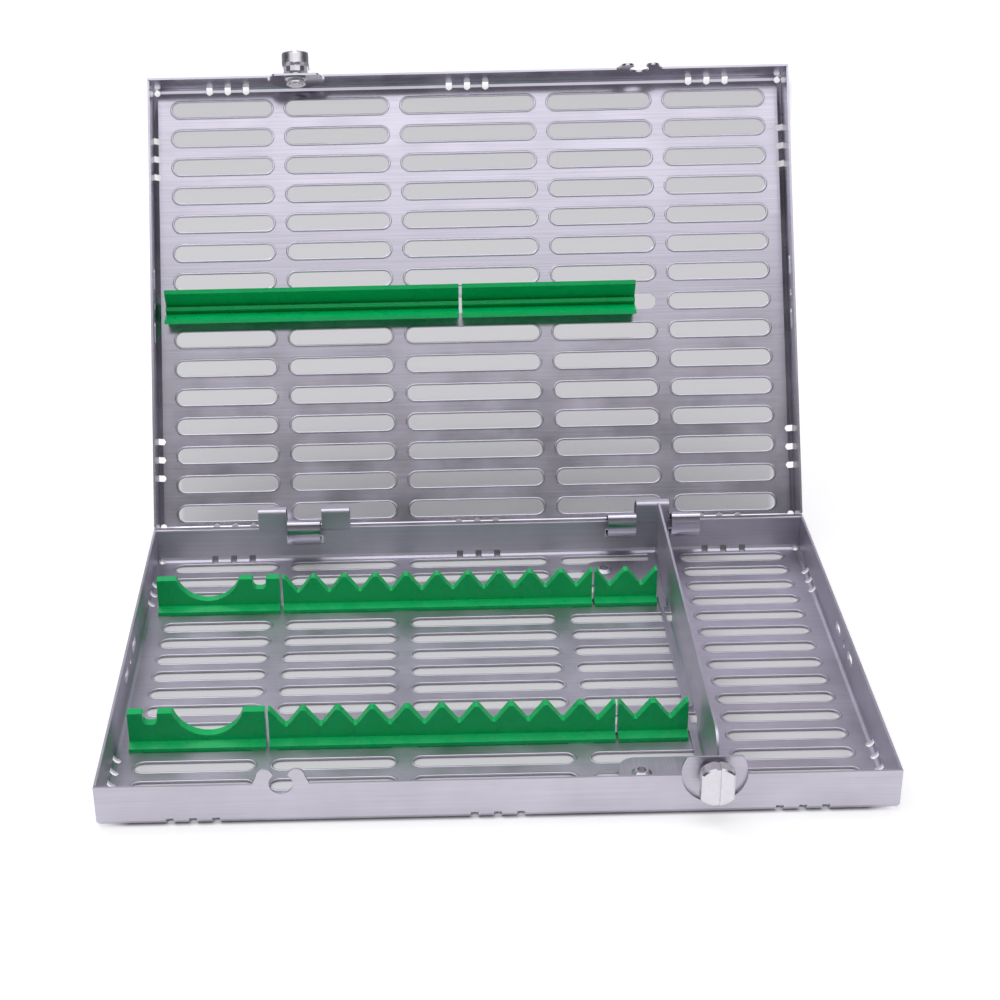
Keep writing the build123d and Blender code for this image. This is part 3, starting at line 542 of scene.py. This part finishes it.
def floor_glow_and_painted_shade(tree):
    """How much the paper glows: PAPER_GLOW all round, and nothing on the patch of painted shade, where the
    bare matt paper shows darker as a painted shadow of the base and the open lid.
    """
    place = add_node(tree, "ShaderNodeTexCoord")
    parts = add_node(tree, "ShaderNodeSeparateXYZ", None, {"Vector": place.outputs["Object"]})
    depth = add_node(tree, "ShaderNodeMapRange",
                     {"From Min": PAINTED_SHADE_WIDENS_FROM, "From Max": PAINTED_SHADE_BACK, "To Min": 0.0, "To Max": 1.0},
                     {"Value": parts.outputs["Y"]})
    middle = add_node(tree, "ShaderNodeMath", {"operation": "MULTIPLY", 1: PAINTED_SHADE_DRIFT},
                      {0: depth.outputs["Result"]})
    side = add_node(tree, "ShaderNodeMath", {"operation": "SUBTRACT"},
                    {0: parts.outputs["X"], 1: middle.outputs["Value"]})
    away = add_node(tree, "ShaderNodeMath", {"operation": "ABSOLUTE"}, {0: side.outputs["Value"]})
    widening = add_node(tree, "ShaderNodeMath",
                        {"operation": "MULTIPLY_ADD", 1: PAINTED_SHADE_SPREAD, 2: PAINTED_SHADE_HALF_WIDTH},
                        {0: depth.outputs["Result"]})
    past = add_node(tree, "ShaderNodeMath", {"operation": "SUBTRACT"},
                    {0: away.outputs["Value"], 1: widening.outputs["Value"]})
    across = add_node(tree, "ShaderNodeMapRange",
                      {"From Min": -PAINTED_SHADE_SOFT, "From Max": PAINTED_SHADE_SOFT, "To Min": 1.0, "To Max": 0.0},
                      {"Value": past.outputs["Value"]})
    front = add_node(tree, "ShaderNodeMapRange",
                     {"From Min": PAINTED_SHADE_FRONT, "From Max": PAINTED_SHADE_FRONT + PAINTED_SHADE_SOFT / 2,
                      "To Min": 0.0, "To Max": 1.0},
                     {"Value": parts.outputs["Y"]})
    back = add_node(tree, "ShaderNodeMapRange",
                    {"From Min": PAINTED_SHADE_BACK - PAINTED_SHADE_BACK_FADE, "From Max": PAINTED_SHADE_BACK,
                     "To Min": 1.0, "To Max": 0.0},
                    {"Value": parts.outputs["Y"]})
    along = add_node(tree, "ShaderNodeMath", {"operation": "MULTIPLY"},
                     {0: front.outputs["Result"], 1: back.outputs["Result"]})
    # painted shade: 1 on the patch that stands in for the shadow under the base and behind the open lid, 0
    # elsewhere
    painted_shade = add_node(tree, "ShaderNodeMath", {"operation": "MULTIPLY"},
                    {0: across.outputs["Result"], 1: along.outputs["Value"]})
    glow = add_node(tree, "ShaderNodeMapRange",
                    {"From Min": 0.0, "From Max": 1.0, "To Min": PAPER_GLOW, "To Max": 0.0},
                    {"Value": painted_shade.outputs["Value"]})
    return glow.outputs["Result"]


def studio_world(scene):
    """White to the camera, and the light tent to everything else."""
    world = bpy.data.worlds.new("studio_world")
    scene.world = world
    world.use_nodes = True
    tree = world.node_tree
    tree.nodes.clear()
    place = add_node(tree, "ShaderNodeTexCoord")
    parts = add_node(tree, "ShaderNodeSeparateXYZ", None, {"Vector": place.outputs["Generated"]})
    ramp = add_node(tree, "ShaderNodeValToRGB", None, {"Fac": parts.outputs["Z"]})
    stops = ramp.color_ramp.elements
    stops[0].position = 0.0
    stops[0].color = TENT_GROUND
    stops[1].position = 1.0
    stops[1].color = TENT_CEILING
    for position, level in TENT_LEVELS:
        stop = stops.new(position)
        stop.color = (level, level, level * TENT_BLUE, 1)
    rear = add_node(tree, "ShaderNodeMapRange",
                    {"From Min": 0.0, "From Max": TENT_REAR_FULL, "To Min": 0.0, "To Max": 1.0},
                    {"Value": parts.outputs["Y"]})
    # sockets 6, 7 and output 2 are the Mix node's two colours and their result
    sides = add_node(tree, "ShaderNodeMix", {"data_type": "RGBA", 7: TENT_REAR},
                     {"Factor": rear.outputs["Result"], 6: ramp.outputs["Color"]})
    path = add_node(tree, "ShaderNodeLightPath")
    tent = add_node(tree, "ShaderNodeBackground", {"Strength": 1.0}, {"Color": sides.outputs[2]})
    white = add_node(tree, "ShaderNodeBackground", {"Color": (1, 1, 1, 1), "Strength": 1.0})
    mix = add_node(tree, "ShaderNodeMixShader", None,
                   {"Fac": path.outputs["Is Camera Ray"],
                    1: tent.outputs["Background"], 2: white.outputs["Background"]})
    add_node(tree, "ShaderNodeOutputWorld", None, {"Surface": mix.outputs["Shader"]})


def soft_lamp(name, position, target, size, power):
    """A large square lamp aimed at a point."""
    data = bpy.data.lights.new(name, "AREA")
    data.shape = "SQUARE"
    data.size = size
    data.energy = power
    lamp = bpy.data.objects.new(name, data)
    bpy.context.scene.collection.objects.link(lamp)
    lamp.location = position
    lamp.rotation_euler = (Vector(target) - Vector(position)).to_track_quat("-Z", "Y").to_euler()


def studio_camera(scene):
    """Camera at the height, tilt and distance that the slot rows show."""
    position = Vector((-24.01, -675.23, 406.03)) * MM
    yaw, pitch, roll = (math.radians(angle) for angle in (-0.083, 28.556, -1.309))
    forward = Vector((math.sin(yaw) * math.cos(pitch), math.cos(yaw) * math.cos(pitch), -math.sin(pitch)))
    level = Vector((math.cos(yaw), -math.sin(yaw), 0))
    rise = level.cross(forward)
    right = math.cos(roll) * level + math.sin(roll) * rise
    up = -math.sin(roll) * level + math.cos(roll) * rise
    data = bpy.data.cameras.new("studio_camera")
    data.sensor_fit = "HORIZONTAL"
    data.sensor_width = 36.0
    data.lens = 72.23
    data.shift_x = 0.0785
    data.shift_y = 0.0875
    data.clip_start = 0.01
    data.clip_end = 50
    camera = bpy.data.objects.new("studio_camera", data)
    scene.collection.objects.link(camera)
    camera.matrix_world = Matrix((
        (right.x, up.x, -forward.x, position.x),
        (right.y, up.y, -forward.y, position.y),
        (right.z, up.z, -forward.z, position.z),
        (0, 0, 0, 1),
    ))
    scene.camera = camera


# ---------------------------------------------------------------- panel and registration

STEPS = (
    "cassette.pressed_halves",
    "cassette.slot_rims",
    "cassette.partition",
    "cassette.silicone",
    "cassette.latches",
    "cassette.studio",
)


class CASSETTE_PT_steps(bpy.types.Panel):
    """Lists the cassette's pieces and its sizes and colours"""
    bl_idname = "CASSETTE_PT_steps"
    bl_label = "Cassette"
    bl_space_type = "VIEW_3D"
    bl_region_type = "UI"
    bl_category = "Cassette"

    def draw(self, context):
        layout = self.layout
        for step in STEPS:
            layout.operator(step)
        for group in (context.scene.cassette_sizes, context.scene.cassette_colours):
            for key in group.bl_rna.properties.keys():
                if key not in ("rna_type", "name"):
                    layout.prop(group, key)


CLASSES = (
    CassetteSizes,
    CassetteColours,
    CASSETTE_OT_pressed_halves,
    CASSETTE_OT_slot_rims,
    CASSETTE_OT_partition,
    CASSETTE_OT_silicone,
    CASSETTE_OT_latches,
    CASSETTE_OT_studio,
    CASSETTE_PT_steps,
)


def register():
    for cls in CLASSES:
        bpy.utils.register_class(cls)
    bpy.types.Scene.cassette_sizes = PointerProperty(type=CassetteSizes)
    bpy.types.Scene.cassette_colours = PointerProperty(type=CassetteColours)


def unregister():
    del bpy.types.Scene.cassette_sizes
    del bpy.types.Scene.cassette_colours
    for cls in reversed(CLASSES):
        bpy.utils.unregister_class(cls)


def main():
    register()
    for step in STEPS:
        group, operator = step.split(".")
        getattr(getattr(bpy.ops, group), operator)()


if __name__ == "__main__":
    main()
